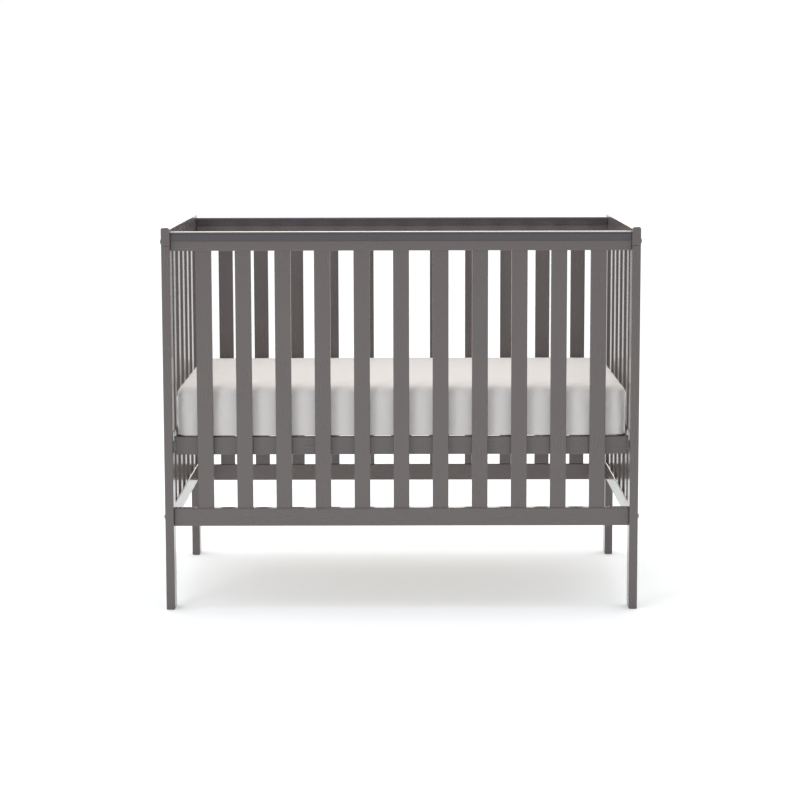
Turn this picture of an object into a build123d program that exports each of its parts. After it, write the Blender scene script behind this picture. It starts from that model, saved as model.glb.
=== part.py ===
from build123d import *
import os

# A compact baby crib: two end panels joined by two fixed side panels, a slatted mattress base that
# hooks over screws in the legs at one of three heights, and a mattress in a fitted sheet.
# Millimetres. X runs along the length, Y from front to rear, Z up. The origin is on the floor,
# under the middle. Left and front are on the negative sides.

# ---- overall sizes
overall_length = 1045.0
overall_depth = 560.0
overall_height = 850.0

# ---- timber sections
leg_thickness = 19.0
leg_depth = 40.0
end_top_height = 40.0
end_bottom_height = 40.0
end_bottom_thickness = 18.0
end_bottom_underside = 192.0
side_rail_thickness = 18.0
side_rail_height = 40.0
side_bottom_underside = 187.0
side_top_drop = 10.0
slat_width = 35.0
slat_thickness = 13.0
side_slat_count = 11
side_slat_margin = 53.5
end_slat_count = 5
end_slat_margin = 51.0
softened_edge = 2.0
rounded_top_edge = 5.0
softened_end = 1.0
foot_chamfer = 1.8
leg_top_chamfer = 1.0

# ---- slat tenons
tenon_thickness = 7.0
tenon_width = 27.0
tenon_length = 11.0
glue_gap = 0.1
mortise_end_gap = 1.0

# ---- teething covers, clipped over the side top rails
cover_wall = 1.4
cover_gap = 0.1
cover_height = 19.0
cover_top_edge = 5.5
cover_end_gap = 1.0
clip_reach = 0.9
clip_height = 2.0
clip_slack = 0.3
clip_groove_below = 1.5

# ---- knock-down fittings and dowels
bolt_radius = 3.0
bolt_hole_radius = 3.5
bolt_head_radius = 8.0
bolt_head_rise = 4.6
bolt_tip_past_nut = 8.0
thread_gap = 0.03
hex_key_radius = 2.3
hex_key_depth = 1.8
barrel_nut_radius = 5.0
barrel_nut_length = 14.0
barrel_nut_setback = 40.0
barrel_nut_gap = 0.1
dowel_radius = 4.0
dowel_in_leg = 12.0
dowel_in_top_rail = 12.0
dowel_in_rail = 20.0
dowel_edge_distance = 8.0
dowel_spacing = 20.0

# ---- mattress base
base_top = 384.0
base_height_step = 144.0
base_rail_height = 40.0
base_rail_thickness = 20.0
base_end_gap = 2.5
base_side_gap = 2.0
base_slat_count = 11
base_slat_width = 45.0
base_slat_thickness = 8.0
rebate_width = 10.0
base_tenon_thickness = 10.0
base_tenon_height = 24.0
base_tenon_length = 10.0
base_tenon_lift = 4.0

# ---- hook brackets, height screws and their inserts
bracket_thickness = 2.0
bracket_reach = 11.0
bracket_ear_length = 33.0
bracket_body_length = 60.0
bracket_front_inset = 12.0
bracket_top_inset = 2.0
bracket_foot_inset = 6.0
bracket_corner = 3.0
bracket_screw_spacing = 30.0
stud_above_base = 8.0
ear_above_stud = 7.0
ear_below_stud = 14.0
hook_slot_gap = 0.3
hook_seat_gap = 0.05
stud_head_radius = 5.0
stud_head_thickness = 3.0
stud_head_gap = 0.6
stud_in_leg = 10.0
insert_radius = 4.5
insert_length = 12.0

# ---- countersunk wood screws
screw_radius = 2.0
screw_head_radius = 4.0
screw_head_depth = 2.0
screw_length = 16.0
screw_tip = 3.0
screw_tip_radius = 0.5
screw_gap = 0.05
screw_recess_depth = 0.9
screw_recess_width = 1.1
screw_recess_reach = 2.4

# ---- mattress and fitted sheet
mattress_end_gap = 3.5
mattress_side_gap = 1.5
mattress_thickness = 112.0
mattress_corner = 18.0
mattress_top_edge = 12.0
mattress_bottom_edge = 6.0
sheet_thickness = 1.0
sheet_gap = 0.2
sheet_hem = 70.0
bedding_lift_gap = 0.5

# ---- places worked out from the sizes above
leg_x = overall_length / 2 - leg_thickness / 2
interior_half_length = overall_length / 2 - leg_thickness
panel_y = overall_depth / 2 - leg_depth / 2
leg_inner_y = overall_depth / 2 - leg_depth
end_top_underside = overall_height - end_top_height
end_bottom_top = end_bottom_underside + end_bottom_height
side_top = overall_height - side_top_drop
side_top_timber = side_top - cover_wall - cover_gap
side_top_underside = side_top_timber - side_rail_height
side_bottom_top = side_bottom_underside + side_rail_height
top_bolt_z = side_top_timber - side_rail_height / 2
bottom_bolt_z = side_bottom_top - side_rail_height / 2
top_dowel_z = side_top_timber - dowel_edge_distance
bottom_dowel_z = side_bottom_top - dowel_edge_distance
end_dowel_z = end_bottom_underside + end_bottom_height / 2
barrel_nut_x = interior_half_length - barrel_nut_setback
rail_top_edge = cover_top_edge - cover_wall - cover_gap
mortise_thickness = tenon_thickness + 2 * glue_gap
mortise_width = tenon_width + 2 * glue_gap
side_slat_first_x = interior_half_length - side_slat_margin - slat_width / 2
side_slat_pitch = 2 * side_slat_first_x / (side_slat_count - 1)
end_slat_first_y = leg_inner_y - end_slat_margin - slat_width / 2
end_slat_pitch = 2 * end_slat_first_y / (end_slat_count - 1)
cover_inner_y = panel_y - side_rail_thickness / 2 - cover_gap - cover_wall
base_half_length = interior_half_length - base_end_gap
base_half_depth = panel_y - side_rail_thickness / 2 - base_side_gap
base_underside = base_top - base_rail_height
base_inner_y = base_half_depth - base_rail_thickness
stud_z = base_top + stud_above_base
stud_heights = [stud_z - base_height_step, stud_z, stud_z + base_height_step]
mattress_half_length = interior_half_length - mattress_end_gap
mattress_half_width = cover_inner_y - mattress_side_gap

LEFT_RIGHT = {"left": -1, "right": 1}
FRONT_REAR = {"front": -1, "rear": 1}


def block(x_limits, y_limits, z_limits):
    """A plain block between three pairs of limits, given in either order."""
    limits = (x_limits, y_limits, z_limits)
    sizes = [abs(end - start) for start, end in limits]
    middles = [(start + end) / 2 for start, end in limits]
    return Pos(*middles) * Box(*sizes)


def rod(start, end, radius):
    """A round bar or a round hole between two points."""
    run = Vector(*end) - Vector(*start)
    place = Plane(origin=start, z_dir=run).location
    return place * Pos(0, 0, run.length / 2) * Cylinder(radius, run.length)


def bar_along_x(half_length, thickness, height, top_edge, bottom_edge):
    """A rail along X, centred on the origin, with softened long edges and softened ends."""
    profile = Rectangle(thickness, height)
    profile = fillet(profile.vertices().group_by(Axis.Y)[-1], top_edge)
    profile = fillet(profile.vertices().group_by(Axis.Y)[0], bottom_edge)
    bar = extrude(Plane.YZ * profile, half_length, both=True)
    ends = bar.faces().filter_by(Axis.X).edges()
    return chamfer(ends, softened_end)


def bar_along_y(half_length, thickness, height, edge):
    """A rail along Y, centred on the origin, with softened long edges."""
    profile = Plane.XZ * RectangleRounded(thickness, height, edge)
    return extrude(profile, half_length, both=True)


def group(pieces):
    """Several separate solids that share one node."""
    return Compound(children=[piece.solid() for piece in pieces])


# ---- end panels


def leg_features(sx, sy):
    """Every hole in one leg, for its bolt, its dowels and the three inserts."""
    inner_x = sx * interior_half_length
    outer_x = sx * overall_length / 2
    y = sy * panel_y
    holes = [
        rod((inner_x, y, bottom_bolt_z), (outer_x, y, bottom_bolt_z), bolt_hole_radius),
        rod(
            (inner_x, y, bottom_dowel_z),
            (inner_x + sx * dowel_in_leg, y, bottom_dowel_z),
            dowel_radius + glue_gap,
        ),
    ]
    for z in stud_heights:
        holes.append(
            rod((inner_x, y, z), (inner_x + sx * insert_length, y, z), insert_radius + glue_gap)
        )
    for dowel_y in top_dowel_places(sy):
        low = (sx * leg_x, dowel_y, end_top_underside - dowel_in_leg)
        holes.append(rod(low, (sx * leg_x, dowel_y, end_top_underside), dowel_radius + glue_gap))
    for z in end_dowel_places():
        start = (sx * leg_x, sy * leg_inner_y, z)
        end = (sx * leg_x, sy * (leg_inner_y + dowel_in_leg), z)
        holes.append(rod(start, end, dowel_radius + glue_gap))
    return holes


def top_dowel_places(sy):
    """The two dowels between a leg and the end top rail stand on the leg's centre line."""
    return [sy * panel_y - dowel_spacing / 2, sy * panel_y + dowel_spacing / 2]


def end_dowel_places():
    """The two dowels between a leg and the end bottom rail lie one above the other."""
    return [end_dowel_z - dowel_spacing / 2, end_dowel_z + dowel_spacing / 2]


def leg(sx, sy):
    post = extrude(RectangleRounded(leg_thickness, leg_depth, softened_edge), end_top_underside)
    post = chamfer(post.faces().sort_by(Axis.Z)[0].edges(), foot_chamfer)
    post = chamfer(post.faces().sort_by(Axis.Z)[-1].edges(), leg_top_chamfer)
    post = Pos(sx * leg_x, sy * panel_y, 0) * post
    return post - leg_features(sx, sy)


def mortise(mouth, direction, place):
    """A slot for a slat's tenon. direction is the way from its mouth to its floor, up or down."""
    x_size, y_size = mouth
    depth = tenon_length + mortise_end_gap
    x, y, z = place
    return block(
        (x - x_size / 2, x + x_size / 2), (y - y_size / 2, y + y_size / 2), (z, z + direction * depth)
    )


def end_slat_places():
    return [-end_slat_first_y + index * end_slat_pitch for index in range(end_slat_count)]


def side_slat_places():
    return [-side_slat_first_x + index * side_slat_pitch for index in range(side_slat_count)]


def end_top_rail(sx):
    """The rail that lies on both legs of an end panel, with its top edges well rounded."""
    profile = Rectangle(leg_thickness, end_top_height)
    profile = fillet(profile.vertices().group_by(Axis.Y)[-1], rounded_top_edge)
    profile = fillet(profile.vertices().group_by(Axis.Y)[0], softened_end)
    rail = extrude(Plane.XZ * profile, overall_depth / 2, both=True)
    rail = chamfer(rail.faces().filter_by(Axis.Y).edges(), softened_end / 2)
    rail = Pos(sx * leg_x, 0, end_top_underside + end_top_height / 2) * rail
    for y in end_slat_places():
        rail -= mortise((mortise_thickness, mortise_width), 1, (sx * leg_x, y, end_top_underside))
    for sy in FRONT_REAR.values():
        y = sy * panel_y
        inner_x = sx * interior_half_length
        rail -= rod((inner_x, y, top_bolt_z), (sx * overall_length / 2, y, top_bolt_z), bolt_hole_radius)
        dowel_end = (inner_x + sx * dowel_in_leg, y, top_dowel_z)
        rail -= rod((inner_x, y, top_dowel_z), dowel_end, dowel_radius + glue_gap)
        for dowel_y in top_dowel_places(sy):
            low = (sx * leg_x, dowel_y, end_top_underside)
            high = (sx * leg_x, dowel_y, end_top_underside + dowel_in_top_rail)
            rail -= rod(low, high, dowel_radius + glue_gap)
    return rail


def end_bottom_rail(sx):
    rail = bar_along_y(leg_inner_y, end_bottom_thickness, end_bottom_height, softened_edge)
    rail = Pos(sx * leg_x, 0, end_dowel_z) * rail
    for y in end_slat_places():
        rail -= mortise((mortise_thickness, mortise_width), -1, (sx * leg_x, y, end_bottom_top))
    for sy in FRONT_REAR.values():
        for z in end_dowel_places():
            start = (sx * leg_x, sy * (leg_inner_y - dowel_in_rail), z)
            rail -= rod(start, (sx * leg_x, sy * leg_inner_y, z), dowel_radius + glue_gap)
    return rail


def slat(x_size, y_size, tenon_x, tenon_y, low, high):
    """An upright slat with a shouldered tenon on each end."""
    body = Pos(0, 0, low) * extrude(RectangleRounded(x_size, y_size, softened_edge), high - low)
    tenons = block(
        (-tenon_x / 2, tenon_x / 2), (-tenon_y / 2, tenon_y / 2), (low - tenon_length, high + tenon_length)
    )
    return body + tenons


# ---- side panels


def bolt_and_nut_holes(rail, sy, bolt_z, dowel_z, underside):
    """The holes at both ends of a side rail: bolt, dowel, and barrel nut from the underside."""
    y = sy * panel_y
    for sx in LEFT_RIGHT.values():
        face_x = sx * interior_half_length
        bolt_end = sx * (barrel_nut_x - bolt_tip_past_nut - mortise_end_gap)
        rail -= rod((face_x, y, bolt_z), (bolt_end, y, bolt_z), bolt_hole_radius)
        dowel_end = (face_x - sx * dowel_in_rail, y, dowel_z)
        rail -= rod((face_x, y, dowel_z), dowel_end, dowel_radius + glue_gap)
        nut_top = (sx * barrel_nut_x, y, bolt_z + barrel_nut_length / 2 + barrel_nut_gap)
        rail -= rod((sx * barrel_nut_x, y, underside), nut_top, barrel_nut_radius + barrel_nut_gap)
    return rail


def side_top_rail(sy):
    """The rail under a teething cover, with a groove along each face for the cover's clips."""
    rail = bar_along_x(
        interior_half_length, side_rail_thickness, side_rail_height, rail_top_edge, softened_edge
    )
    rail = Pos(0, sy * panel_y, top_bolt_z) * rail
    for x in side_slat_places():
        rail -= mortise((mortise_width, mortise_thickness), 1, (x, sy * panel_y, side_top_underside))
    groove_top = side_top - cover_height + clip_height + clip_slack
    groove_foot = side_top - cover_height - clip_groove_below
    for face in (-1, 1):
        outside = sy * panel_y + face * side_rail_thickness / 2
        inside = outside - face * (clip_reach + clip_slack - cover_gap)
        x_limits = (-interior_half_length, interior_half_length)
        rail -= block(x_limits, (outside, inside), (groove_foot, groove_top))
    return bolt_and_nut_holes(rail, sy, top_bolt_z, top_dowel_z, side_top_underside)


def side_bottom_rail(sy):
    rail = bar_along_x(
        interior_half_length, side_rail_thickness, side_rail_height, softened_edge, softened_edge
    )
    rail = Pos(0, sy * panel_y, bottom_bolt_z) * rail
    for x in side_slat_places():
        rail -= mortise((mortise_width, mortise_thickness), -1, (x, sy * panel_y, side_bottom_top))
    return bolt_and_nut_holes(rail, sy, bottom_bolt_z, bottom_dowel_z, side_bottom_underside)


def teething_rail(sy):
    """A smooth plastic channel over the side top rail, with a clip inside each lower edge."""
    half_length = interior_half_length - cover_end_gap
    inner = side_rail_thickness + 2 * cover_gap
    outer = inner + 2 * cover_wall
    top_profile = Plane.YZ * RectangleRounded(outer, 2 * cover_height, cover_top_edge)
    shell = extrude(top_profile, half_length, both=True)
    shell -= block((-half_length, half_length), (-outer, outer), (-2 * cover_height, 0))
    hollow_top = cover_height - cover_wall
    hollow_profile = Plane.YZ * RectangleRounded(inner, 2 * hollow_top, cover_top_edge - cover_wall)
    shell -= extrude(hollow_profile, half_length, both=True)
    for face in (-1, 1):
        wall = face * (inner / 2 + cover_wall / 2)
        clip_tip = face * (inner / 2 - clip_reach)
        shell += block((-half_length, half_length), (wall, clip_tip), (0, clip_height))
    return Pos(0, sy * panel_y, side_top - cover_height) * shell


# ---- knock-down fittings


def dome():
    """A shallow domed bolt head that stands on the origin and rises along Z."""
    rim = (bolt_head_radius, 0)
    crown = (0, bolt_head_rise)
    ball = (bolt_head_radius**2 + bolt_head_rise**2) / (2 * bolt_head_rise)
    outline = RadiusArc(rim, crown, -ball) + Polyline(crown, (0, 0), rim)
    return revolve(Plane.XZ * make_face(outline), Axis.Z)


def frame_bolt(sx, sy, z):
    """A domed connector bolt that goes through the end panel into a barrel nut in a side rail."""
    face_x = sx * overall_length / 2
    y = sy * panel_y
    tip_x = sx * (barrel_nut_x - bolt_tip_past_nut)
    head = Plane(origin=(face_x, y, z), z_dir=(sx, 0, 0)).location * dome()
    key_face = Plane(origin=(face_x + sx * bolt_head_rise, y, z), z_dir=(-sx, 0, 0))
    key = extrude(key_face * RegularPolygon(hex_key_radius, 6), hex_key_depth)
    return head + rod((face_x, y, z), (tip_x, y, z), bolt_radius) - key


def barrel_nut(sx, sy, z):
    x = sx * barrel_nut_x
    y = sy * panel_y
    half = barrel_nut_length / 2
    nut = rod((x, y, z - half), (x, y, z + half), barrel_nut_radius)
    reach = 2 * barrel_nut_radius
    return nut - rod((x - reach, y, z), (x + reach, y, z), bolt_radius + thread_gap)


def corners():
    return [(sx, sy) for sx in LEFT_RIGHT.values() for sy in FRONT_REAR.values()]


def frame_dowels():
    """The glued dowels of the end panels and the locating dowels of the side rails."""
    dowels = []
    for sx, sy in corners():
        face_x = sx * interior_half_length
        for z in (top_dowel_z, bottom_dowel_z):
            start = (face_x + sx * (dowel_in_leg - glue_gap), sy * panel_y, z)
            end = (face_x - sx * (dowel_in_rail - glue_gap), sy * panel_y, z)
            dowels.append(rod(start, end, dowel_radius))
        for y in top_dowel_places(sy):
            low = (sx * leg_x, y, end_top_underside - dowel_in_leg + glue_gap)
            high = (sx * leg_x, y, end_top_underside + dowel_in_top_rail - glue_gap)
            dowels.append(rod(low, high, dowel_radius))
        for z in end_dowel_places():
            start = (sx * leg_x, sy * (leg_inner_y - dowel_in_rail + glue_gap), z)
            end = (sx * leg_x, sy * (leg_inner_y + dowel_in_leg - glue_gap), z)
            dowels.append(rod(start, end, dowel_radius))
    return dowels


def threaded_insert(sx, sy, z):
    """A flush insert in the leg's inner face; the glue gap keeps it off the hole's floor."""
    face_x = sx * interior_half_length
    start = (face_x, sy * panel_y, z)
    end = (face_x + sx * (insert_length - glue_gap), sy * panel_y, z)
    return rod(start, end, insert_radius) - rod(start, end, bolt_radius + thread_gap)


def height_stud(sx, sy):
    """The screw that a hook bracket hangs on: thread in the leg, head inside the bracket."""
    y = sy * panel_y
    head_outer = sx * (base_half_length - stud_head_gap)
    head_inner = head_outer - sx * stud_head_thickness
    thread_tip = sx * (interior_half_length + stud_in_leg)
    stud = rod((thread_tip, y, stud_z), (head_outer, y, stud_z), bolt_radius)
    stud += rod((head_outer, y, stud_z), (head_inner, y, stud_z), stud_head_radius)
    key_face = Plane(origin=(head_inner, y, stud_z), z_dir=(sx, 0, 0))
    return stud - extrude(key_face * RegularPolygon(hex_key_radius, 6), hex_key_depth)


# ---- mattress base


def wood_screw():
    """A countersunk screw that points down from the origin, with a cross recess in its head."""
    neck_z = -screw_head_depth
    shank_end = -(screw_length - screw_tip)
    screw = Pos(0, 0, neck_z / 2) * Cone(screw_radius, screw_head_radius, screw_head_depth)
    screw += rod((0, 0, neck_z), (0, 0, shank_end), screw_radius)
    screw += Pos(0, 0, shank_end - screw_tip / 2) * Cone(screw_tip_radius, screw_radius, screw_tip)
    half_width = screw_recess_width / 2
    for x, y in ((screw_recess_reach, half_width), (half_width, screw_recess_reach)):
        screw -= block((-x, x), (-y, y), (-screw_recess_depth, 0))
    return screw


def screw_hole():
    """The space that a wood screw takes, with a little clearance all round."""
    neck_z = -screw_head_depth
    head_radius = screw_head_radius + screw_gap
    shank_radius = screw_radius + screw_gap
    hole = Pos(0, 0, neck_z / 2) * Cone(shank_radius, head_radius, screw_head_depth)
    return hole + rod((0, 0, neck_z), (0, 0, -screw_length - screw_gap), shank_radius)


def base_slat_places():
    inner_half = base_half_length - base_rail_thickness
    gap = (2 * inner_half - base_slat_count * base_slat_width) / (base_slat_count + 1)
    first = -inner_half + gap + base_slat_width / 2
    return [first + index * (gap + base_slat_width) for index in range(base_slat_count)]


def slat_screw_places():
    screw_y = base_inner_y + rebate_width / 2
    return [Pos(x, sy * screw_y, base_top) for x in base_slat_places() for sy in (-1, 1)]


def bracket_screw_places(sx, sy):
    """Two screws in line along the bracket's body, driven in through its outer face."""
    middle_y = base_half_depth - bracket_front_inset - bracket_body_length / 2 - screw_head_radius
    middle_z = (base_underside + bracket_foot_inset + base_top) / 2
    face_x = sx * (base_half_length + bracket_thickness)
    places = []
    for offset in (-bracket_screw_spacing / 2, bracket_screw_spacing / 2):
        origin = (face_x, sy * (middle_y + offset), middle_z)
        places.append(Plane(origin=origin, z_dir=(sx, 0, 0)).location)
    return places


def base_tenon_limits():
    low = base_underside + base_tenon_lift
    return low, low + base_tenon_height


def base_side_rail(sy):
    """A long rail of the base, with a rebate for the slats along its inner top edge."""
    rail = bar_along_x(
        base_half_length, base_rail_thickness, base_rail_height, softened_edge, softened_edge
    )
    middle_y = base_half_depth - base_rail_thickness / 2
    rail = Pos(0, sy * middle_y, base_top - base_rail_height / 2) * rail
    shelf_z = base_top - base_slat_thickness
    slat_end_y = base_inner_y + rebate_width
    x_limits = (-base_half_length, base_half_length)
    rail -= block(x_limits, (sy * base_inner_y, sy * slat_end_y), (shelf_z, base_top))
    low, high = base_tenon_limits()
    tenon_half = base_tenon_thickness / 2 + glue_gap
    floor_y = base_inner_y + base_tenon_length + glue_gap
    for sx in LEFT_RIGHT.values():
        x = sx * (base_half_length - base_rail_thickness / 2)
        z_limits = (low - glue_gap, high + glue_gap)
        rail -= block((x - tenon_half, x + tenon_half), (sy * base_inner_y, sy * floor_y), z_limits)
    for place in slat_screw_places():
        rail -= place * screw_hole()
    for sx in LEFT_RIGHT.values():
        for place in bracket_screw_places(sx, sy):
            rail -= place * screw_hole()
    return rail


def base_end_rail(sx):
    """A short rail of the base, tenoned into both long rails."""
    rail = bar_along_y(base_inner_y, base_rail_thickness, base_rail_height, softened_edge)
    x = sx * (base_half_length - base_rail_thickness / 2)
    rail = Pos(x, 0, base_top - base_rail_height / 2) * rail
    tenon_half = base_tenon_thickness / 2
    tenon_end = base_inner_y + base_tenon_length
    rail += block((x - tenon_half, x + tenon_half), (-tenon_end, tenon_end), base_tenon_limits())
    for sy in FRONT_REAR.values():
        for place in bracket_screw_places(sx, sy):
            rail -= place * screw_hole()
    return rail


def base_slat():
    """One cross slat, its top face at the origin's height, screwed at both ends."""
    half_length = base_inner_y + rebate_width - glue_gap
    profile = Plane.XZ * RectangleRounded(base_slat_width, base_slat_thickness, softened_edge)
    board = Pos(0, 0, -base_slat_thickness / 2) * extrude(profile, half_length, both=True)
    screw_y = base_inner_y + rebate_width / 2
    for sy in FRONT_REAR.values():
        board -= Pos(0, sy * screw_y, 0) * screw_hole()
    return board


def hook_bracket(sx, sy):
    """A flat steel plate on the end of the base. Its ear has an open slot that drops on a stud."""
    body_outer = base_half_depth - bracket_front_inset
    body_inner = body_outer - bracket_body_length
    foot = base_underside + bracket_foot_inset
    shoulder = base_top - bracket_top_inset
    ear_low = stud_z - ear_below_stud
    ear_high = stud_z + ear_above_stud
    ear_outer = panel_y + bracket_reach
    ear_inner = ear_outer - bracket_ear_length
    outline = Polygon(
        (body_inner, foot),
        (body_outer, foot),
        (body_outer, ear_low),
        (ear_outer, ear_low),
        (ear_outer, ear_high),
        (ear_inner, ear_high),
        (ear_inner - (ear_high - shoulder), shoulder),
        (body_inner, shoulder),
        align=None,
    )
    outline = fillet(outline.vertices(), bracket_corner)
    slot_radius = bolt_radius + hook_slot_gap
    seat_z = stud_z - hook_slot_gap + hook_seat_gap
    slot = Pos(panel_y, seat_z) * Circle(slot_radius)
    slot_run = seat_z - ear_low + bracket_corner
    slot += Pos(panel_y, seat_z - slot_run / 2) * Rectangle(2 * slot_radius, slot_run)
    plate = extrude(Plane.YZ * (outline - slot), bracket_thickness)
    plate = Pos(base_half_length, 0, 0) * plate
    if sx < 0:
        plate = plate.mirror(Plane.YZ)
    if sy < 0:
        plate = plate.mirror(Plane.XZ)
    for place in bracket_screw_places(sx, sy):
        plate -= place * screw_hole()
    return plate


# ---- bedding


def cushion(inset):
    """The bedding's outer form, or one that lies further in by the inset all round."""
    low, high = sheet_limits()
    half_length = mattress_half_length - inset
    half_width = mattress_half_width - inset
    outline = RectangleRounded(2 * half_length, 2 * half_width, mattress_corner - inset)
    body = Pos(0, 0, low + inset) * extrude(outline, high - low - 2 * inset)
    body = fillet(body.faces().sort_by(Axis.Z)[-1].edges(), mattress_top_edge - inset)
    return fillet(body.faces().sort_by(Axis.Z)[0].edges(), mattress_bottom_edge - inset)


def sheet_limits():
    low = base_top + bedding_lift_gap
    return low, low + mattress_thickness + 2 * (sheet_thickness + sheet_gap)


def mattress():
    return cushion(sheet_thickness + sheet_gap)


def fitted_sheet():
    """The sheet covers the top and the sides and is tucked under all round by a hem."""
    open_x = mattress_half_length - sheet_hem
    open_y = mattress_half_width - sheet_hem
    opening = extrude(RectangleRounded(2 * open_x, 2 * open_y, mattress_corner), 2 * sheet_thickness)
    opening_low = sheet_limits()[0] - sheet_thickness / 2
    return cushion(0) - cushion(sheet_thickness) - Pos(0, 0, opening_low) * opening


# ---- every node of the crib


def build_nodes():
    nodes = {}
    end_slat = slat(
        slat_thickness, slat_width, tenon_thickness, tenon_width, end_bottom_top, end_top_underside
    )
    side_slat = slat(
        slat_width, slat_thickness, tenon_width, tenon_thickness, side_bottom_top, side_top_underside
    )
    for end, sx in LEFT_RIGHT.items():
        nodes[f"end_top_rail_{end}"] = end_top_rail(sx)
        nodes[f"end_bottom_rail_{end}"] = end_bottom_rail(sx)
        nodes[f"base_end_rail_{end}"] = base_end_rail(sx)
        for number, y in enumerate(end_slat_places(), 1):
            nodes[f"end_slat_{end}_{number}"] = Pos(sx * leg_x, y, 0) * end_slat
        for side, sy in FRONT_REAR.items():
            nodes[f"leg_{side}_{end}"] = leg(sx, sy)
    for side, sy in FRONT_REAR.items():
        nodes[f"side_top_rail_{side}"] = side_top_rail(sy)
        nodes[f"side_bottom_rail_{side}"] = side_bottom_rail(sy)
        nodes[f"teething_rail_{side}"] = teething_rail(sy)
        nodes[f"base_side_rail_{side}"] = base_side_rail(sy)
        for number, x in enumerate(side_slat_places(), 1):
            nodes[f"side_slat_{side}_{number:02d}"] = Pos(x, sy * panel_y, 0) * side_slat

    bolt_heights = (top_bolt_z, bottom_bolt_z)
    bracket_screws = [
        place * wood_screw() for sx, sy in corners() for place in bracket_screw_places(sx, sy)
    ]
    slat_screws = [place * wood_screw() for place in slat_screw_places()]
    nodes["frame_bolts"] = group(frame_bolt(sx, sy, z) for sx, sy in corners() for z in bolt_heights)
    nodes["barrel_nuts"] = group(barrel_nut(sx, sy, z) for sx, sy in corners() for z in bolt_heights)
    nodes["frame_dowels"] = group(frame_dowels())
    nodes["threaded_inserts"] = group(
        threaded_insert(sx, sy, z) for sx, sy in corners() for z in stud_heights
    )
    nodes["height_studs"] = group(height_stud(sx, sy) for sx, sy in corners())
    nodes["hook_brackets"] = group(hook_bracket(sx, sy) for sx, sy in corners())
    nodes["base_slats"] = group(Pos(x, 0, base_top) * base_slat() for x in base_slat_places())
    nodes["base_screws"] = group(bracket_screws + slat_screws)
    nodes["mattress"] = mattress()
    nodes["fitted_sheet"] = fitted_sheet()
    return nodes


os.makedirs("parts", exist_ok=True)
for name, shape in build_nodes().items():
    export_step(shape, f"parts/{name}.step")
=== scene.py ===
import math

import bpy
import numpy as np
from mathutils import Euler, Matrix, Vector


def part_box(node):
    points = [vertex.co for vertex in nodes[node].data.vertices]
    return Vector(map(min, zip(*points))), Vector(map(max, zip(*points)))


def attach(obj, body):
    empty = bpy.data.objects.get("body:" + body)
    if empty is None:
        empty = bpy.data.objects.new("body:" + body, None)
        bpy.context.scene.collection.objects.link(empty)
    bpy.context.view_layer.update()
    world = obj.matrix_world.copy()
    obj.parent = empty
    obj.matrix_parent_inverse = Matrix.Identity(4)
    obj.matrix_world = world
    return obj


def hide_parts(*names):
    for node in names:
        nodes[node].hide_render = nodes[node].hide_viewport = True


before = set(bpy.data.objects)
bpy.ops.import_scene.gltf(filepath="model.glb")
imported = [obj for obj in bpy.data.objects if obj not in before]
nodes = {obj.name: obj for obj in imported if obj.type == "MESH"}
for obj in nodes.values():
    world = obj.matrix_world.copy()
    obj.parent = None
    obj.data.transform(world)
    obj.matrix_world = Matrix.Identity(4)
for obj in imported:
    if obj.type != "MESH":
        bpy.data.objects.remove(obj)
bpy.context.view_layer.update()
scene = bpy.context.scene

# ---- camera: 1.4 cm off the crib's middle plane, 28 cm above its top rails, looking a little down
CAMERA_PLACE = (0.0142, -4.468, 1.126)
CAMERA_PITCH = math.radians(6.283)
CAMERA_ROLL = math.radians(-0.11)
LENS_MM = 86.82
SENSOR_MM = 36.0
SHIFT_X = -0.0095
SHIFT_Y = -0.11

# ---- studio
FLOOR_HALF = 60.0
FLOOR_GLOW = 0.24
WORLD_LEFT = 1.08
WORLD_RIGHT = 0.90
DIFFUSE_LEVELS = (0.26, 1.05, 1.40)
GLOSSY_LEVELS = (0.26, 1.60, 3.00)
FRONT_TINT = (0.97, 0.98, 1.0)
BACK_TINT = (1.0, 0.965, 0.91)
BACKDROP_WHITE = 1.02
OVERHEAD_WATTS = 19.0
KEY_WATTS = 42.0

# ---- paint, plastic and cloth colours, linear
PAINT = (0.118, 0.0985, 0.095)
PAINT_WORN = (0.133, 0.113, 0.109)
COVER = (0.066, 0.057, 0.067)
BOLT_PAINT = (0.115, 0.104, 0.098)
PINE_LIGHT = (0.60, 0.42, 0.24)
PINE_DARK = (0.40, 0.24, 0.115)
BEECH_LIGHT = (0.62, 0.45, 0.29)
BEECH_DARK = (0.47, 0.31, 0.18)
ZINC = (0.62, 0.63, 0.64)
BRASS = (0.72, 0.53, 0.24)
SHEET = (0.755, 0.727, 0.713)
SHEET_SHADE = (0.72, 0.70, 0.686)
TICKING = (0.78, 0.76, 0.72)
TICKING_LINE = (0.52, 0.55, 0.60)
TICKING_SHADE = (0.70, 0.68, 0.66)

# ---- bedding, worked out from the places the frame gives it
MATTRESS_LOW, MATTRESS_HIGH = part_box("mattress")
SHEET_LOW, SHEET_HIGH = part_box("fitted_sheet")
CORNER = 0.018
TOP_EDGE = 0.012
BOTTOM_EDGE = 0.006
HEM_WIDTH = 0.070
HEM_ROLL = 0.008
# each ring of the hem's roll: how far it lies back from the roll's edge, and how high
HEM_RINGS = ((HEM_ROLL, 0.0028), (0.5 * HEM_ROLL, 0.0032), (0.001, 0.0026), (0.0, 0.0014), (0.001, 0.0003))
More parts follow.
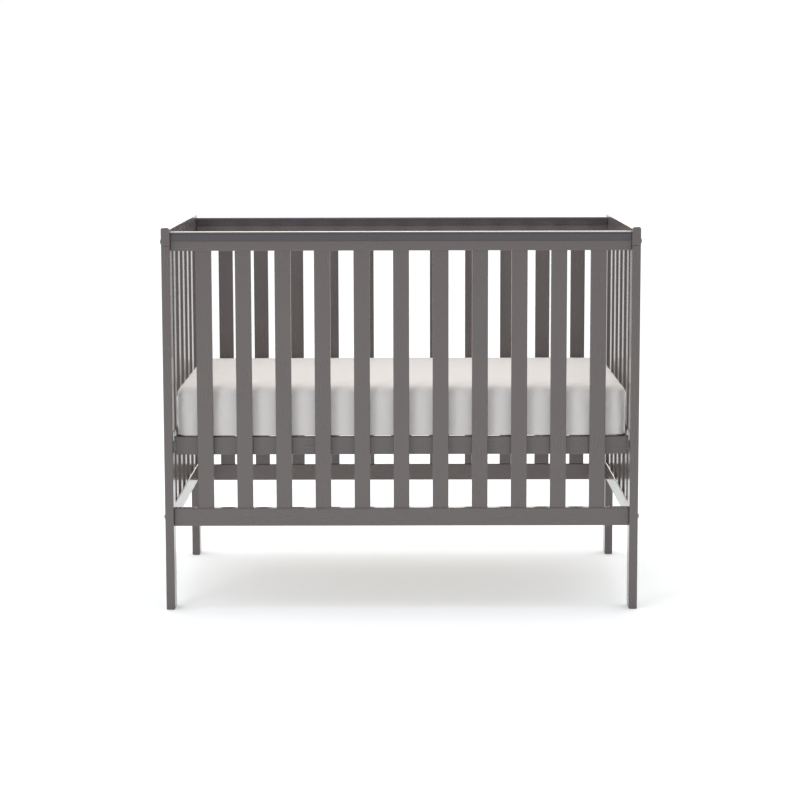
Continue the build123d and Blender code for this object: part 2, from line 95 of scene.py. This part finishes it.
# how far foam and cloth start inside their boxes: at the ends, at the sides, on top and below
FOAM_INSIDE = (0.0065, 0.0055, 0.0045, 0.0010)
SHEET_INSIDE = (0.0014, 0.0016, 0.0020, 0.0006)
FOAM_STEP = 0.010
FOAM_CROWN = 0.0022
FOAM_HOLLOW = 0.0040
FOAM_BULGE = (0.0024, 0.0016)
CLOTH_STEP = 0.0095
CLOTH_THICKNESS = 0.0008
CLOTH_FRAMES = 24
CLOTH_UNEVENNESS = 0.0004
CLOTH_REACH = 0.008

# ---- folds of the sheet: heights, and the distance from one to the next
SIDE_FOLD = 0.0020
SIDE_FOLD_PITCH = 0.047
SIDE_FOLD_FINE_PITCH = 0.021
END_FOLD = 0.0012
END_FOLD_PITCH = 0.052
TOP_FOLD = 0.0008
TOP_FOLD_PITCH = 0.058
PULLED_LINE = 0.0022
PULLED_LINE_WIDTH = 0.006
HEM_GATHER = 0.0011
EDGE_ROOM = 0.0013
EDGE_GIVE = 0.0028


# ------------------------------------------------------------------ materials


class Shader:
    """One material with short calls for its nodes."""

    def __init__(self, name):
        self.material = bpy.data.materials.new(name)
        self.material.use_nodes = True
        self.tree = self.material.node_tree
        self.bsdf = self.tree.nodes["Principled BSDF"]
        self.place = self.node("ShaderNodeTexCoord").outputs["Object"]

    def node(self, kind, inputs=None, **settings):
        made = self.tree.nodes.new(kind)
        for key, value in settings.items():
            setattr(made, key, value)
        for key, value in (inputs or {}).items():
            self.put(made.inputs[key], value)
        return made

    def put(self, socket, value):
        if isinstance(value, bpy.types.NodeSocket):
            self.tree.links.new(value, socket)
        elif isinstance(value, tuple) and len(value) == 3 and socket.type == "RGBA":
            socket.default_value = (*value, 1.0)
        else:
            socket.default_value = value

    def set(self, **inputs):
        for key, value in inputs.items():
            self.put(self.bsdf.inputs[key.replace("_", " ")], value)

    def stretched(self, scale):
        """The object's own coordinates, scaled by a different amount along each axis."""
        return self.node("ShaderNodeMapping", {"Vector": self.place, "Scale": scale}).outputs[0]

    def noise(self, scale, detail=3.0, rough=0.5, vector=None, distortion=0.0):
        made = self.node(
            "ShaderNodeTexNoise",
            {"Vector": vector or self.place, "Scale": scale, "Detail": detail,
             "Roughness": rough, "Distortion": distortion},
        )
        return made.outputs["Fac"]

    def wave(self, scale, direction, distortion=0.0, detail=0.0, vector=None):
        made = self.node(
            "ShaderNodeTexWave",
            {"Vector": vector or self.place, "Scale": scale, "Distortion": distortion, "Detail": detail},
            bands_direction=direction,
        )
        return made.outputs["Fac"]

    def range(self, value, low, high, from_low=0.3, from_high=0.7):
        made = self.node(
            "ShaderNodeMapRange",
            {"Value": value, "From Min": from_low, "From Max": from_high, "To Min": low, "To Max": high},
        )
        return made.outputs["Result"]

    def math(self, operation, first, second):
        return self.node("ShaderNodeMath", {0: first, 1: second}, operation=operation).outputs[0]

    def mix(self, factor, first, second):
        made = self.node("ShaderNodeMix", data_type="RGBA")
        self.put(made.inputs["Factor"], factor)
        for name, value in (("A", first), ("B", second)):
            self.put([s for s in made.inputs if s.name == name and s.type == "RGBA"][0], value)
        return [s for s in made.outputs if s.type == "RGBA"][0]

    def bump(self, height, distance, strength=1.0, below=None):
        inputs = {"Height": height, "Distance": distance, "Strength": strength}
        if below is not None:
            inputs["Normal"] = below
        return self.node("ShaderNodeBump", inputs).outputs["Normal"]


def along(axis, long, across):
    """A mapping scale that draws a pattern out along one axis."""
    return tuple(long if index == axis else across for index in range(3))


def painted_timber(axis):
    """Satin paint on timber: faint grain along the piece, orange peel, and slightly paler thin places."""
    shader = Shader(f"painted_timber_{'xyz'[axis]}")
    grain = shader.noise(60.0, 3.0, 0.5, shader.stretched(along(axis, 0.05, 1.0)), 0.4)
    pores = shader.noise(420.0, 2.0, 0.5, shader.stretched(along(axis, 0.06, 1.0)))
    clouds = shader.noise(7.0, 3.0)
    peel = shader.noise(650.0, 1.0)
    thin = shader.mix(shader.range(grain, 0.0, 0.08, 0.42, 0.72), PAINT, PAINT_WORN)
    tone = shader.mix(shader.range(clouds, 0.0, 0.30), thin, tuple(0.92 * c for c in PAINT))
    smooth = shader.range(clouds, 0.22, 0.29)
    rough = shader.math("ADD", smooth, shader.range(pores, -0.01, 0.015))
    relief = shader.bump(grain, 0.00003, 0.1)
    relief = shader.bump(pores, 0.00001, 0.1, relief)
    relief = shader.bump(peel, 0.00001, 0.5, relief)
    shader.set(Base_Color=tone, Roughness=rough, Normal=relief)
    shader.bsdf.inputs["Coat Weight"].default_value = 0.40
    shader.bsdf.inputs["Coat Roughness"].default_value = 0.10
    return shader.material


def teething_cover():
    """Smooth extruded plastic with faint draw lines along its length and a few fine rubs."""
    shader = Shader("teething_cover")
    draw = shader.noise(300.0, 2.0, 0.5, shader.stretched(along(0, 0.01, 1.0)))
    clouds = shader.noise(11.0, 2.0)
    rubs = shader.noise(90.0, 6.0, 0.75, shader.stretched((0.5, 2.0, 2.0)), 1.5)
    paler = tuple(1.12 * c for c in COVER)
    shader.set(
        Base_Color=shader.mix(shader.range(clouds, 0.0, 0.5), COVER, paler),
        Roughness=shader.range(rubs, 0.17, 0.27, 0.35, 0.75),
        Normal=shader.bump(draw, 0.00003, 0.3),
    )
    shader.bsdf.inputs["IOR"].default_value = 1.49
    shader.bsdf.inputs["Coat Weight"].default_value = 0.35
    shader.bsdf.inputs["Coat Roughness"].default_value = 0.08
    return shader.material


def bare_timber(name, axis, light, dark, ring_scale):
    """Sanded timber without a finish: rings drawn out along the board, pores and fine fibres."""
    shader = Shader(name)
    drawn_out = shader.stretched(along(axis, 0.12, 1.0))
    rings = shader.wave(ring_scale, "X" if axis != 0 else "Y", 7.0, 3.0, drawn_out)
    fibre = shader.noise(260.0, 4.0, 0.6, shader.stretched(along(axis, 0.04, 1.0)))
    boards = shader.noise(9.0, 1.0)
    wood = shader.mix(shader.range(rings, 0.0, 0.8, 0.1, 0.95), light, dark)
    wood = shader.mix(shader.range(fibre, 0.0, 0.4), wood, dark)
    wood = shader.mix(shader.range(boards, 0.0, 0.35), wood, tuple(0.8 * c for c in light))
    relief = shader.bump(fibre, 0.00015, 0.5)
    shader.set(Base_Color=wood, Roughness=shader.range(fibre, 0.5, 0.68), Normal=relief)
    return shader.material


def painted_metal():
    """Bolt heads sprayed in the timber's colour, a little glossier and finely textured."""
    shader = Shader("bolt_heads")
    speckle = shader.noise(900.0, 2.0)
    clouds = shader.noise(120.0, 3.0)
    rubbed = shader.mix(shader.range(clouds, 0.0, 0.5), BOLT_PAINT, PAINT_WORN)
    shader.set(
        Base_Color=rubbed,
        Roughness=shader.range(speckle, 0.22, 0.34),
        Normal=shader.bump(speckle, 0.00004, 0.5),
    )
    return shader.material


def plated_metal(name, color, low, high, brush):
    """Plated or machined metal with turning or brush marks and a slightly uneven tone."""
    shader = Shader(name)
    marks = shader.noise(800.0, 3.0, 0.6, shader.stretched(brush))
    clouds = shader.noise(70.0, 3.0)
    dull = tuple(0.72 * c for c in color)
    shader.set(
        Base_Color=shader.mix(shader.range(clouds, 0.0, 0.7), color, dull),
        Metallic=1.0,
        Roughness=shader.range(marks, low, high),
        Normal=shader.bump(marks, 0.00004, 0.5),
    )
    return shader.material


def sheet_cotton():
    """Fine cotton jersey: knitted ribs under a millimetre apart, light fuzz and a soft uneven tone."""
    shader = Shader("sheet_cotton")
    ribs = shader.wave(420.0, "DIAGONAL", 1.2, 1.0)
    rows = shader.wave(300.0, "X", 1.5, 1.0)
    slubs = shader.noise(45.0, 4.0, 0.65, shader.stretched((0.35, 1.0, 1.0)))
    clouds = shader.noise(6.0, 2.0)
    knit = shader.math("ADD", shader.math("MULTIPLY", ribs, 0.6), shader.math("MULTIPLY", rows, 0.4))
    tone = shader.mix(shader.range(slubs, 0.0, 0.35), SHEET, SHEET_SHADE)
    tone = shader.mix(shader.range(clouds, 0.0, 0.25), tone, SHEET_SHADE)
    relief = shader.bump(slubs, 0.0004, 0.25)
    relief = shader.bump(knit, 0.00012, 0.35, relief)
    shader.set(Base_Color=tone, Roughness=shader.range(knit, 0.82, 0.93, 0.0, 1.0), Normal=relief)
    shader.bsdf.inputs["Sheen Weight"].default_value = 0.12
    shader.bsdf.inputs["Sheen Roughness"].default_value = 0.45
    shader.bsdf.inputs["Specular IOR Level"].default_value = 0.25
    return shader.material


def mattress_ticking():
    """Woven ticking with a fine twill, thin pale blue stripes, and diamond quilting lines."""
    shader = Shader("mattress_foam")
    stripes = shader.wave(14.0, "Y", 0.0)
    twill = shader.wave(330.0, "DIAGONAL", 0.5)
    clouds = shader.noise(8.0, 3.0)
    channels = []
    for way in (1.0, -1.0):
        seam = shader.wave(3.4, "DIAGONAL", vector=shader.stretched((1.0, way, 0.0)))
        channels.append(shader.range(seam, 0.0, 1.0, 0.0, 0.18))
    quilt = shader.math("MULTIPLY", *channels)
    line = shader.range(stripes, 0.0, 0.8, 0.93, 0.99)
    tone = shader.mix(line, TICKING, TICKING_LINE)
    tone = shader.mix(shader.range(clouds, 0.0, 0.2), tone, TICKING_SHADE)
    relief = shader.bump(quilt, 0.0035, 0.9)
    shader.set(
        Base_Color=tone,
        Roughness=shader.range(twill, 0.75, 0.88, 0.0, 1.0),
        Normal=shader.bump(twill, 0.0002, 0.5, relief),
    )
    shader.bsdf.inputs["Sheen Weight"].default_value = 0.08
    return shader.material


def floor_paper():
    """Matt white background paper, hardly uneven, with a glow of its own that keeps it near white."""
    shader = Shader("studio_paper")
    clouds = shader.noise(0.6, 2.0)
    fibres = shader.noise(300.0, 2.0)
    shader.set(
        Base_Color=shader.mix(shader.range(clouds, 0.0, 1.0), (0.885, 0.92, 0.95), (0.90, 0.935, 0.965)),
        Roughness=shader.range(fibres, 0.88, 0.96),
    )
    shader.bsdf.inputs["Specular IOR Level"].default_value = 0.1
    shader.set(Emission_Color=(0.98, 0.99, 1.0), Emission_Strength=FLOOR_GLOW)
    return shader.material


def paint_cad_nodes():
    """Gives each CAD node its finish; timber gets the variant whose grain runs along the piece."""
    paint = {axis: painted_timber(axis) for axis in range(3)}
    slots = {
        "teething_cover": teething_cover(),
        "bare_slats": bare_timber("bare_slats", 1, PINE_LIGHT, PINE_DARK, 34.0),
        "dowel_timber": bare_timber("dowel_timber", 0, BEECH_LIGHT, BEECH_DARK, 90.0),
        "bolt_heads": painted_metal(),
        "zinc_steel": plated_metal("zinc_steel", ZINC, 0.22, 0.38, (1.0, 0.15, 0.15)),
        "brass_insert": plated_metal("brass_insert", BRASS, 0.25, 0.4, (0.1, 1.0, 1.0)),
        "mattress_foam": mattress_ticking(),
        "sheet_cotton": sheet_cotton(),
    }
    for name, node in nodes.items():
        low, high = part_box(name)
        sizes = list(high - low)
        for slot in node.material_slots:
            if slot.material.name.split(".")[0] == "painted_timber":
                slot.material = paint[sizes.index(max(sizes))]
            else:
                slot.material = slots[slot.material.name.split(".")[0]]
    return slots


# ------------------------------------------------------------------ bedding


def outline(half_x, half_y, corner, cells_x, cells_y):
    """A rounded rectangle as a ring of points, in step with the edge of a grid of cells."""
    xs = np.linspace(-half_x, half_x, cells_x + 1)
    ys = np.linspace(-half_y, half_y, cells_y + 1)
    ring = [(x, -half_y) for x in xs[:-1]]
    ring += [(half_x, y) for y in ys[:-1]]
    ring += [(x, half_y) for x in xs[:0:-1]]
    ring += [(-half_x, y) for y in ys[:0:-1]]
    return round_corners(np.array(ring), half_x, half_y, corner)


def round_corners(points, half_x, half_y, corner):
    """Draws the square corners of a rectangle in to quarter circles."""
    inner = np.array([half_x - corner, half_y - corner])
    core = np.clip(points, -inner, inner)
    off = points - core
    length = np.linalg.norm(off, axis=1)
    square = np.abs(off).max(axis=1)
    share = np.where(length > 1e-9, square / np.maximum(length, 1e-9), 1.0)
    return core + off * share[:, None]


def profile_rings(low, high, top_edge, bottom_edge, turned_in, step):
    """(inset, height) pairs up the side of a block: under it, round the edge, up, and round again."""
    turns = 5
    arc = [math.pi / 2 * i / turns for i in range(turns + 1)]
    rings = []
    if turned_in > bottom_edge:
        rings += [(turned_in - back, low + up) for back, up in HEM_RINGS]
        count = max(1, round((turned_in - bottom_edge) / step))
        run = turned_in - HEM_ROLL / 2 - bottom_edge
        rings += [(bottom_edge + run * (1 - i / count), low) for i in range(count)]
    rings += [
        (bottom_edge - bottom_edge * math.sin(a), low + bottom_edge - bottom_edge * math.cos(a)) for a in arc
    ]
    straight = high - low - top_edge - bottom_edge
    count = max(1, round(straight / step))
    rings += [(0.0, low + bottom_edge + straight * i / count) for i in range(1, count)]
    rings += [
        (top_edge - top_edge * math.cos(a), high - top_edge + top_edge * math.sin(a)) for a in arc
    ]
    return rings


def block_shell(name, half, heights, radii, turned_in, step):
    """A rounded block's skin in quads: rings up its sides and a grid on top. A block that isn't
    turned in under itself is closed by a grid below."""
    (half_x, half_y), (low, high), (corner, top_edge, bottom_edge) = half, heights, radii
    cells_x = round(2 * half_x / step)
    cells_y = round(2 * half_y / step)
    around = 2 * (cells_x + cells_y)
    closed = turned_in == 0
    rings = profile_rings(low, high, top_edge, bottom_edge, turned_in, step)
    points, faces = [], []
    for inset, z in rings:
        ring = outline(half_x - inset, half_y - inset, max(corner - inset, 0.005), cells_x, cells_y)
        points += [(x, y, z) for x, y in ring]
    for level in range(len(rings) - 1):
        for i in range(around):
            j = (i + 1) % around
            below, above = level * around, (level + 1) * around
            faces.append((below + i, below + j, above + j, above + i))

    def cap(ring_start, inset, z, upward):
        """Fills a ring with a grid whose edge is the ring itself."""
        end_x, end_y = half_x - inset, half_y - inset
        xs = np.linspace(-end_x, end_x, cells_x + 1)
        ys = np.linspace(-end_y, end_y, cells_y + 1)
        index = {}
        for j in range(cells_y + 1):
            for i in range(cells_x + 1):
                if j == 0:
                    index[i, j] = ring_start + i
                elif i == cells_x:
                    index[i, j] = ring_start + cells_x + j
                elif j == cells_y:
                    index[i, j] = ring_start + cells_x + cells_y + (cells_x - i)
                elif i == 0:
                    index[i, j] = ring_start + 2 * cells_x + cells_y + (cells_y - j)
                else:
                    flat = round_corners(np.array([(xs[i], ys[j])]), end_x, end_y, max(corner - inset, 0.005))
                    index[i, j] = len(points)
                    points.append((flat[0, 0], flat[0, 1], z))
        for j in range(cells_y):
            for i in range(cells_x):
                quad = (index[i, j], index[i + 1, j], index[i + 1, j + 1], index[i, j + 1])
                faces.append(quad if upward else quad[::-1])

    cap((len(rings) - 1) * around, top_edge, high, True)
    if closed:
        cap(0, bottom_edge, low, False)
    mesh = bpy.data.meshes.new(name)
    mesh.from_pydata(points, [], faces)
    mesh.update()
    made = bpy.data.objects.new(name, mesh)
    scene.collection.objects.link(made)
    return made


def coordinates(obj):
    flat = np.zeros(len(obj.data.vertices) * 3)
    obj.data.vertices.foreach_get("co", flat)
    return flat.reshape(-1, 3)


def set_coordinates(obj, points):
    obj.data.vertices.foreach_set("co", points.ravel())
    obj.data.update()


def smooth_shading(obj):
    obj.data.polygons.foreach_set("use_smooth", [True] * len(obj.data.polygons))


def apply_modifiers(obj):
    """Replaces the object's mesh with the result of its modifiers."""
    evaluated = obj.evaluated_get(bpy.context.evaluated_depsgraph_get())
    result = bpy.data.meshes.new_from_object(evaluated)
    obj.modifiers.clear()
    obj.data = result


def smoothstep(value, start, end):
    t = np.clip((value - start) / (end - start), 0.0, 1.0)
    return t * t * (3 - 2 * t)


def make_mattress():
    """The foam mattress: crowned on top, bulging a little at its sides, and flat below but for a
    shallow hollow in which the sheet's hem lies."""
    low, high = MATTRESS_LOW, MATTRESS_HIGH
    half_x, half_y = high.x - FOAM_INSIDE[0], high.y - FOAM_INSIDE[1]
    body = block_shell(
        "mattress_core", (half_x, half_y), (low.z + FOAM_INSIDE[3], high.z - FOAM_INSIDE[2]),
        (CORNER, TOP_EDGE, BOTTOM_EDGE), 0.0, FOAM_STEP,
    )
    p = coordinates(body)
    inside = (1 - (p[:, 0] / half_x) ** 4) * (1 - (p[:, 1] / half_y) ** 4)
    middle = (low.z + high.z) / 2
    bulge = np.clip(1 - ((p[:, 2] - middle) / (high.z - middle)) ** 2, 0, 1)
    inset = np.minimum(half_x - np.abs(p[:, 0]), half_y - np.abs(p[:, 1]))
    hollow = smoothstep(inset, 0.042, 0.058)
    top = p[:, 2] > middle
    p[:, 2] += np.where(top, FOAM_CROWN * np.clip(inside, 0, 1), FOAM_HOLLOW * hollow)
    for axis, half in ((0, half_x), (1, half_y)):
        near_face = smoothstep(np.abs(p[:, axis]), half - CORNER, half)
        p[:, axis] += np.sign(p[:, axis]) * near_face * FOAM_BULGE[axis] * bulge
    set_coordinates(body, p)
    smooth_shading(body)
    return body


def simulate_sheet(sheet, body):
    """Lets the slack cloth settle over the mattress with Blender's cloth solver."""
    body.modifiers.new("collide", "COLLISION")
    body.collision.thickness_outer = 0.001
    body.collision.cloth_friction = 8
    cloth = sheet.modifiers.new("cloth", "CLOTH")
    settings = cloth.settings
    settings.quality = 6
    settings.mass = 0.18
    settings.tension_stiffness = 18
    settings.compression_stiffness = 14
    settings.shear_stiffness = 6
    settings.bending_stiffness = 0.06
    settings.vertex_group_mass = "hem"
    settings.pin_stiffness = 1.0
    settings.vertex_group_shrink = "slack"
    settings.shrink_min = 0.0
    settings.shrink_max = -0.05
    cloth.collision_settings.distance_min = 0.0012
    cloth.collision_settings.collision_quality = 3
    cloth.point_cache.frame_start = 1
    cloth.point_cache.frame_end = CLOTH_FRAMES
    scene.gravity = (0, 0, -9.81)
    for number in range(1, CLOTH_FRAMES + 1):
        scene.frame_set(number)
    apply_modifiers(sheet)
    body.modifiers.clear()
    scene.frame_set(1)


def make_sheet(body):
    """The fitted sheet, cut with a little slack, settled over the mattress by the cloth solver, with
    its folds and the hem's gathers added by formula."""
    low, high = SHEET_LOW, SHEET_HIGH
    sheet = block_shell(
        "sheet", (high.x - SHEET_INSIDE[0], high.y - SHEET_INSIDE[1]),
        (low.z + SHEET_INSIDE[3], high.z - SHEET_INSIDE[2]),
        (CORNER + 0.001, TOP_EDGE + 0.001, BOTTOM_EDGE + 0.0005), HEM_WIDTH, CLOTH_STEP,
    )
    start = coordinates(sheet)
    hem = sheet.vertex_groups.new(name="hem")
    slack = sheet.vertex_groups.new(name="slack")
    for index, (x, y, z) in enumerate(start):
        if z < low.z + 0.005:
            hem.add([index], 1.0, "REPLACE")
        ends = 0.40 + 0.60 * float(smoothstep(np.array(abs(x)), 0.32, 0.49))
        slack.add([index], ends, "REPLACE")
    uneven = np.random.default_rng(7).normal(0.0, CLOTH_UNEVENNESS, start.shape)
    set_coordinates(sheet, start + uneven * (start[:, 2] > low.z + 0.02)[:, None])
    simulate_sheet(sheet, body)
    moved = coordinates(sheet) - start
    far = np.linalg.norm(moved, axis=1)
    moved *= np.minimum(1.0, CLOTH_REACH / np.maximum(far, 1e-9))[:, None]
    set_coordinates(sheet, start + moved)
    crease(sheet)
    gather_hem(sheet, low)
    keep_in(sheet, low, high)
    for kind, name in (("SUBSURF", "finer"), ("SOLIDIFY", "thickness")):
        sheet.modifiers.new(name, kind)
    sheet.modifiers["finer"].levels = 1
    sheet.modifiers["finer"].render_levels = 1
    sheet.modifiers["thickness"].thickness = CLOTH_THICKNESS
    sheet.modifiers["thickness"].offset = -1.0
    apply_modifiers(sheet)
    smooth_shading(sheet)
    return sheet


def crease(sheet):
    """The folds that pull from the corners of a fitted sheet: upright ones on its sides near the
    ends, faint slanting ones on its top, and one thin pulled line near the rear edge."""
    p = coordinates(sheet)
    x, y, z = p.T
    height = (z - SHEET_LOW.z) / (SHEET_HIGH.z - SHEET_LOW.z)
    on_side = smoothstep(height, 0.03, 0.25) * (1 - smoothstep(height, 0.80, 0.98))
    on_top = smoothstep(height, 0.93, 0.99)
    near_end = smoothstep(np.abs(x), 0.30, 0.47)
    long_side = smoothstep(np.abs(y), SHEET_HIGH.y - 0.012, SHEET_HIGH.y - 0.004)
    short_side = smoothstep(np.abs(x), SHEET_HIGH.x - 0.012, SHEET_HIGH.x - 0.004)
    lean = 0.30 * (height - 0.5) * 0.1
    wander = 0.008 * np.sin(x * 21.0 + y * 17.0)
    uneven = np.sign(x) + 0.6 * np.sign(y)
    upright = np.sin((np.abs(x) + lean + wander) * 2 * math.pi / SIDE_FOLD_PITCH + uneven)
    upright += 0.5 * np.sin((np.abs(x) - 2 * lean) * 2 * math.pi / SIDE_FOLD_FINE_PITCH + 2.0)
    p[:, 1] += np.sign(y) * SIDE_FOLD * (1 + upright) * on_side * near_end * long_side
    ends = np.sin((y + lean + wander) * 2 * math.pi / END_FOLD_PITCH + 0.8)
    p[:, 0] += np.sign(x) * END_FOLD * (1 + ends) * on_side * short_side
    slant = np.sin((0.62 * x * np.sign(x) + 0.78 * y + 2 * wander) * 2 * math.pi / TOP_FOLD_PITCH)
    patch = np.clip(np.sin(x * 6.3 + 1.2) * np.sin(y * 9.0 + 0.4) + 0.45, 0, 1)
    p[:, 2] += TOP_FOLD * (1 + slant) * on_top * patch * (0.25 + 0.75 * near_end)
    line_y = 0.212 - 0.05 * (x + 0.10)
    stretch = smoothstep(x, -0.20, -0.13) * (1 - smoothstep(x, -0.07, -0.03))
    line = np.exp(-((y - line_y) / PULLED_LINE_WIDTH) ** 2) * stretch
    p[:, 2] += PULLED_LINE * line * on_top
    set_coordinates(sheet, p)


def gather_hem(sheet, low):
    """Small gathers round the rolled edge, where the elastic draws it in under the mattress."""
    p = coordinates(sheet)
    inset = np.minimum(SHEET_HIGH.x - np.abs(p[:, 0]), SHEET_HIGH.y - np.abs(p[:, 1]))
    under = (p[:, 2] < low.z + 0.0045) * smoothstep(inset, 0.045, 0.066)
    run = np.where(
        SHEET_HIGH.x - np.abs(p[:, 0]) < SHEET_HIGH.y - np.abs(p[:, 1]), p[:, 1], p[:, 0]
    )
    wave = 0.5 + 0.5 * np.sin(run * 185.0) * np.cos(run * 41.0)
    p[:, 2] += under * HEM_GATHER * wave
    set_coordinates(sheet, p)


def keep_in(obj, low, high):
    """Eases points back, so that none goes more than 1.5 mm past the box that the frame gives."""
    p = coordinates(obj)
    for limit, way in ((np.array(high) - EDGE_ROOM, 1), (np.array(low) + EDGE_ROOM, -1)):
        over = np.maximum(way * (p - limit), 0.0)
        p -= way * (over - EDGE_GIVE * np.tanh(over / EDGE_GIVE))
    set_coordinates(obj, p)


# ------------------------------------------------------------------ studio


def add_light(name, place, target, size, power, color):
    data = bpy.data.lights.new(name, "AREA")
    data.shape = "RECTANGLE"
    data.size, data.size_y = size
    data.energy = power
    data.color = color
    light = bpy.data.objects.new(name, data)
    scene.collection.objects.link(light)
    light.location = place
    light.rotation_euler = (Vector(target) - Vector(place)).to_track_quat("-Z", "Y").to_euler()


def make_world():
    """A white studio: bright behind the crib, dimmer in front, and plain white as a background.
    The lit backdrop is brighter where gloss reflects it than where it shines on the crib."""
    world = bpy.data.worlds.new("studio_white")
    scene.world = world
    world.use_nodes = True
    tree = world.node_tree
    background = tree.nodes["Background"]
    split = tree.nodes.new("ShaderNodeSeparateXYZ")
    tree.links.new(tree.nodes.new("ShaderNodeTexCoord").outputs["Generated"], split.inputs[0])
    rays = tree.nodes.new("ShaderNodeLightPath").outputs

    def ramp(axis, ends, values):
        """A value that goes evenly from one to another along an axis of the direction."""
        made = tree.nodes.new("ShaderNodeMapRange")
        settings = zip(("From Min", "From Max", "To Min", "To Max"), (*ends, *values))
        for name, value in settings:
            made.inputs[name].default_value = value
        tree.links.new(split.outputs[axis], made.inputs["Value"])
        return made.outputs["Result"]

    def combined(operation, first, second):
        made = tree.nodes.new("ShaderNodeMath")
        made.operation = operation
        tree.links.new(first, made.inputs[0])
        tree.links.new(second, made.inputs[1])
        return made.outputs[0]

    def levels(front, side, back):
        return combined("ADD", ramp("Y", (-1, 0), (front, side)), ramp("Y", (0, 1), (0.0, back - side)))

    def chosen(factor, first, second, kind="FLOAT"):
        """One of two values or colours, or what lies between them."""
        made = tree.nodes.new("ShaderNodeMix")
        made.data_type = kind
        ends = [socket for socket in made.inputs if socket.name in ("A", "B") and socket.enabled]
        tree.links.new(factor, made.inputs["Factor"])
        for socket, value in zip(ends, (first, second)):
            if isinstance(value, bpy.types.NodeSocket):
                tree.links.new(value, socket)
            else:
                socket.default_value = value
        return [socket for socket in made.outputs if socket.enabled][0]

    light = chosen(rays["Is Glossy Ray"], levels(*DIFFUSE_LEVELS), levels(*GLOSSY_LEVELS))
    light = combined("MULTIPLY", light, ramp("X", (-1, 1), (WORLD_LEFT, WORLD_RIGHT)))
    tint = chosen(ramp("Y", (-1, 1), (0.0, 1.0)), (*FRONT_TINT, 1.0), (*BACK_TINT, 1.0), "RGBA")
    color = chosen(rays["Is Camera Ray"], tint, (1.0, 1.0, 1.0, 1.0), "RGBA")
    strength = chosen(rays["Is Camera Ray"], light, BACKDROP_WHITE)
    tree.links.new(color, background.inputs["Color"])
    tree.links.new(strength, background.inputs["Strength"])


def make_studio():
    make_world()
    mesh = bpy.data.meshes.new("studio_floor")
    corners = [(x * FLOOR_HALF, y * FLOOR_HALF, 0.0) for x, y in ((-1, -1), (1, -1), (1, 1), (-1, 1))]
    mesh.from_pydata(corners, [], [(0, 1, 2, 3)])
    floor = bpy.data.objects.new("studio_floor", mesh)
    scene.collection.objects.link(floor)
    mesh.materials.append(floor_paper())
    add_light("overhead", (0.0, 0.0, 2.7), (0.0, 0.0, 0.0), (2.4, 1.3), OVERHEAD_WATTS, (1.0, 0.995, 0.985))
    add_light("key", (-3.0, -4.2, 2.6), (0.0, 0.0, 0.5), (1.6, 1.6), KEY_WATTS, (0.95, 0.97, 1.0))
    scene.view_settings.view_transform = "Standard"


def make_camera():
    data = bpy.data.cameras.new("camera")
    data.lens = LENS_MM
    data.sensor_width = SENSOR_MM
    data.shift_x = SHIFT_X
    data.shift_y = SHIFT_Y
    camera = bpy.data.objects.new("camera", data)
    scene.collection.objects.link(camera)
    camera.location = CAMERA_PLACE
    level = Euler((math.pi / 2 - CAMERA_PITCH, 0.0, 0.0)).to_quaternion()
    roll = Euler((0.0, 0.0, CAMERA_ROLL)).to_quaternion()
    camera.rotation_euler = (level @ roll).to_euler()
    scene.camera = camera


make_camera()
make_studio()
finishes = paint_cad_nodes()

mattress = make_mattress()
mattress.data.materials.append(finishes["mattress_foam"])
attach(mattress, "bedding")
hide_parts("mattress")

sheet = make_sheet(mattress)
sheet.data.materials.clear()
sheet.data.materials.append(finishes["sheet_cotton"])
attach(sheet, "bedding")
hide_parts("fitted_sheet")
